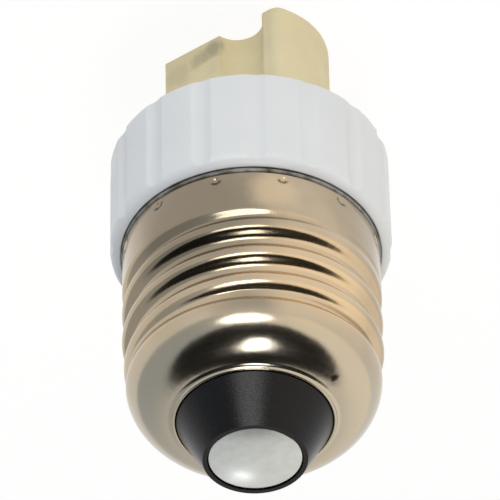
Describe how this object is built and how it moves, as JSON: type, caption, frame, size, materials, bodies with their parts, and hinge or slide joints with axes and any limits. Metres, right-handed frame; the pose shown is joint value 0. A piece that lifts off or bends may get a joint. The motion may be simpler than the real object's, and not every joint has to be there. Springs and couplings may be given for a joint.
{
  "type": "lamp socket adapter",
  "caption": "Lamp socket adapter: screw base with centre contact at one end, fluted grip ring, and a tall ceramic socket with a slot for a looped-pin lamp at the other.",
  "frame": {"origin": "centre of the part's footprint, on the socket face that it stands on", "axes": "+Z from the socket face along the screw axis to the centre contact, +X along the socket's slot"},
  "size_m": [0.0286, 0.0286, 0.0551],
  "materials": {
    "plated_shell": "bright plated sheet",
    "black_insulator": "satin moulded",
    "contact_metal": "satin",
    "white_plastic": "glossy moulded",
    "cream_ceramic": "matt unglazed",
    "insulating_plate": "smooth sheet",
    "screw_steel": "zinc plated",
    "clip_metal": "plated strip",
    "wire_copper": "bare",
    "wire_sleeve": "woven sleeve"
  },
  "bodies": {
    "root": {"screw_shell": "plated_shell", "base_insulator": "black_insulator", "centre_contact": "contact_metal", "housing": "white_plastic", "socket_body": "cream_ceramic", "socket_base_plate": "insulating_plate", "fixing_screws": "screw_steel", "contact_clip_live": "clip_metal", "contact_clip_neutral": "clip_metal", "live_core": "wire_copper", "live_sleeve": "wire_sleeve", "neutral_core": "wire_copper", "neutral_sleeve": "wire_sleeve"}
  },
  "joints": []
}
